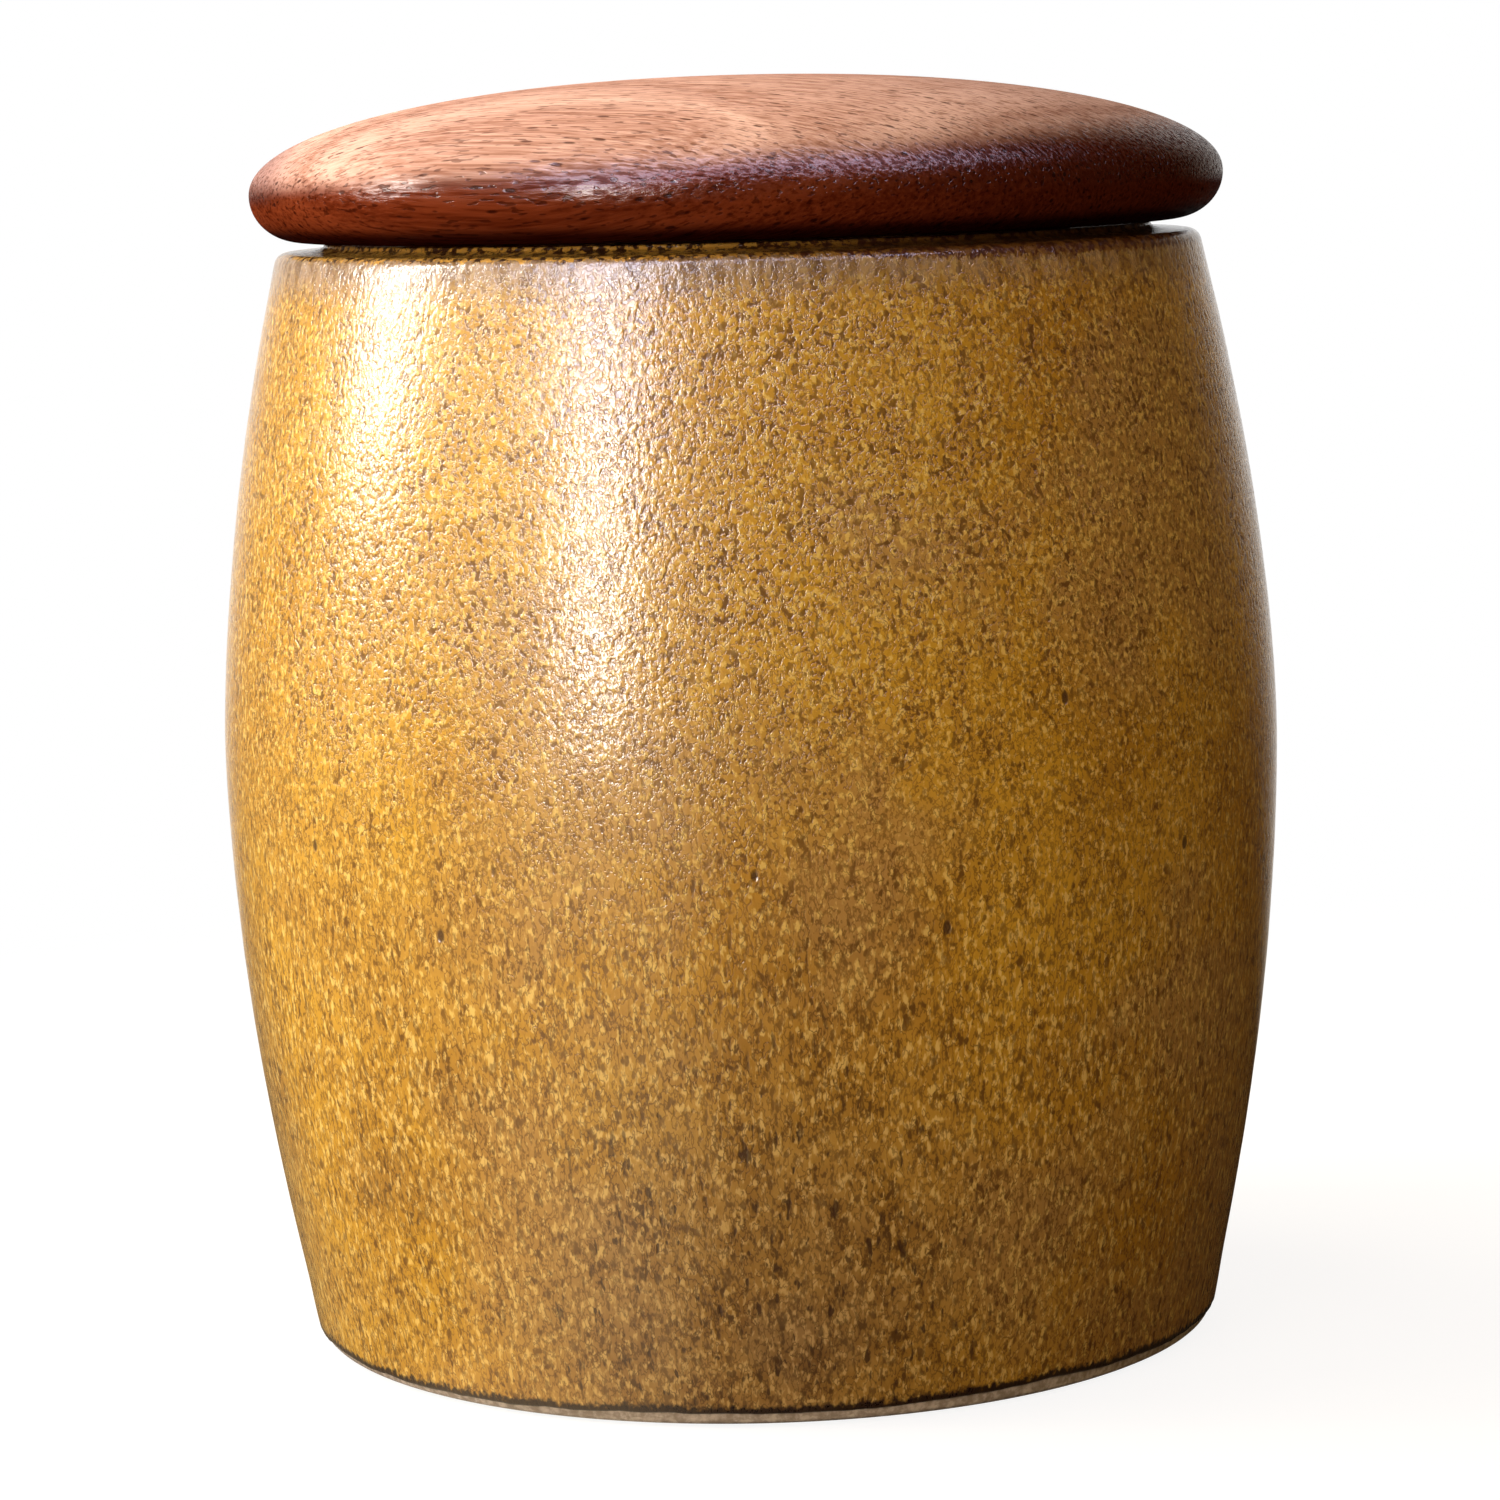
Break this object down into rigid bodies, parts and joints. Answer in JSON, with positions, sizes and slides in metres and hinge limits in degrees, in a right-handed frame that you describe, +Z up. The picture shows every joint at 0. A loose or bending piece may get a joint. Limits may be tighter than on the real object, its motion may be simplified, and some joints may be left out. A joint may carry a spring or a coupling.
{
  "type": "tobacco jar",
  "caption": "Barrel-shaped glazed stoneware tobacco jar with a domed turned hardwood lid, a cork seal and a push-in humidifier under the lid.",
  "frame": {"origin": "centre of the foot ring, on the surface that the jar stands on", "axes": "+Z up along the jar's axis of revolution; +X and +Y are free, because every piece but the holes of the grille is turned about Z"},
  "size_m": [0.14, 0.14, 0.1656],
  "materials": {
    "glaze": "satin",
    "hardwood": "satin",
    "cork": "matte",
    "case_brass": "satin",
    "grille_brass": "satin",
    "porous_clay": "matte"
  },
  "bodies": {
    "jar": {"jar_body": "glaze"},
    "lid_body": {"lid": "hardwood", "cork_seal_ring": "cork"},
    "humidifier": {"humidifier_case": "case_brass", "humidifier_grille": "grille_brass", "humidifier_disc": "porous_clay"}
  },
  "joints": [
    {"name": "lid_lift", "type": "slide", "parent": "jar", "child": "lid_body", "axis": [0, 0, 1], "range_m": [0, 0.06]},
    {"name": "humidifier_pull", "type": "slide", "parent": "lid_body", "child": "humidifier", "axis": [0, 0, -1], "range_m": [0, 0.012]}
  ]
}
